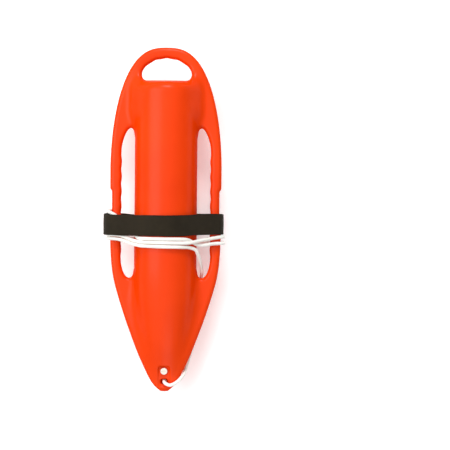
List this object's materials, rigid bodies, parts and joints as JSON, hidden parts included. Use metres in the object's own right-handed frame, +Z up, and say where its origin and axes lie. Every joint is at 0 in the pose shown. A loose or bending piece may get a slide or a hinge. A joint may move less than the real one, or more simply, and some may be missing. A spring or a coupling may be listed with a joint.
{
  "type": "lifeguard rescue can",
  "caption": "Hollow torpedo-shaped rescue float with side and rear hand holes, a nose vent plug, and a tow line and webbing shoulder strap wound round its middle.",
  "frame": {"origin": "on the floor, at the flat underside of the strap's sewn joint, on the can's middle plane and at half its length", "axes": "+X across the can's width, +Y along the can towards the rear handle, +Z up through its front face; it lies on its back"},
  "size_m": [0.2671, 0.75, 0.1582],
  "materials": {
    "shell": "satin moulded polyethylene",
    "vent_white": "satin",
    "vent_brass": "turned",
    "seal": "matt",
    "line": "braided",
    "strap": "woven webbing",
    "ring": "polished"
  },
  "bodies": {
    "can": {"float_shell": "shell", "vent_bush": "vent_brass", "tow_line": "line", "stopper_knot": "line", "shoulder_strap": "strap", "strap_joint": "strap", "ring_keeper": "strap"},
    "seal": {"plug_seal": "seal"},
    "plug": {"vent_plug": "vent_white"},
    "ring": {"strap_ring": "ring", "line_hitch": "line"}
  },
  "joints": [
    {"name": "seal_lift", "type": "slide", "parent": "can", "child": "seal", "axis": [0, -0.2079, 0.9781], "range_m": [0, 0.008]},
    {"name": "plug_turn", "type": "hinge", "parent": "seal", "child": "plug", "pos_m": [0, -0.33122, 0.09583], "axis": [0, -0.2079, 0.9781], "range_deg": [0, 1441]},
    {"name": "ring_swing", "type": "hinge", "parent": "can", "child": "ring", "pos_m": [-0.04237, -0.013, 0.01099], "axis": [0, -1, 0], "range_deg": [-1, 8]}
  ],
  "couplings": [
    {"joint": "plug_turn", "follows": "seal_lift", "rad_per_m": 3141.6}
  ]
}
